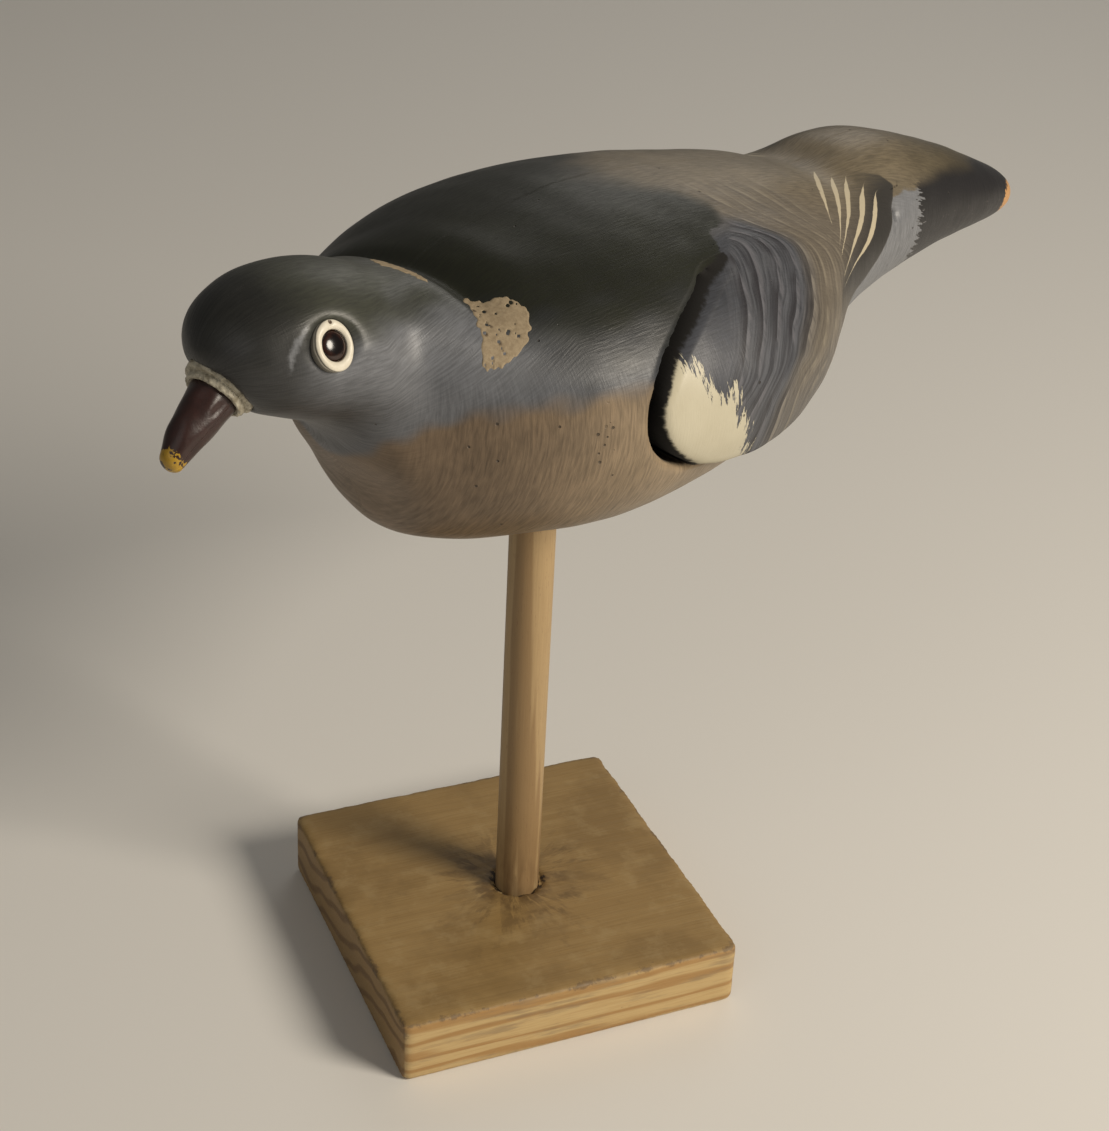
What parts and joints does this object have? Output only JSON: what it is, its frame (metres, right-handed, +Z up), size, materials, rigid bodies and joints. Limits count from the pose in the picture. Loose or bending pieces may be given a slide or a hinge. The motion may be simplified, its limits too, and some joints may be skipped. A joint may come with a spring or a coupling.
{
  "type": "pigeon decoy on a peg stand",
  "caption": "Carved and painted pigeon decoy that turns on and lifts off a round wooden peg in a square pine base.",
  "frame": {"origin": "on the peg's axis, at the underside of the base board", "axes": "+Z up along the peg, the bird faces -Y and its left wing is towards +X; the square base is turned 67.1 degrees about Z, as it stands under the bird"},
  "size_m": [0.1646, 0.4078, 0.2955],
  "materials": {
    "base_wood": "bare pine, aged, stained round the peg foot",
    "peg_wood": "bare pale dowel",
    "plumage_paint": "hand-painted carved wood, satin",
    "head_paint": "hand-painted carved wood, blue-grey, satin",
    "wing_paint": "hand-painted carved wood with painted feather edges, satin",
    "filler": "bare matt filler with small pits",
    "bill_paint": "dark plum gloss paint with a chipped yellow tip",
    "putty": "off-white painted putty, flaky",
    "eye_ring_paint": "cream gloss paint",
    "eye_glass": "dark amber glass bead, painted behind",
    "steel_wire": "plain wire"
  },
  "bodies": {
    "stand": {"base_board": "base_wood"},
    "peg": {"peg": "peg_wood"},
    "bird": {"body_block": "plumage_paint", "head_block": "head_paint", "left_wing": "wing_paint", "right_wing": "wing_paint", "left_wing_pins": "peg_wood", "right_wing_pins": "peg_wood", "neck_dowel": "peg_wood", "neck_filler": "filler", "bill": "bill_paint", "cere_putty": "putty", "left_eye_ring": "eye_ring_paint", "right_eye_ring": "eye_ring_paint", "left_eye": "eye_glass", "right_eye": "eye_glass", "left_eye_pin": "steel_wire", "right_eye_pin": "steel_wire"}
  },
  "joints": [
    {"name": "bird_turn", "type": "hinge", "parent": "stand", "child": "peg", "pos_m": [0, 0, 0.0247], "axis": [0, 0, 1], "continuous": true},
    {"name": "bird_lift", "type": "slide", "parent": "peg", "child": "bird", "axis": [0, 0, 1], "range_m": [0, 0.045]}
  ]
}
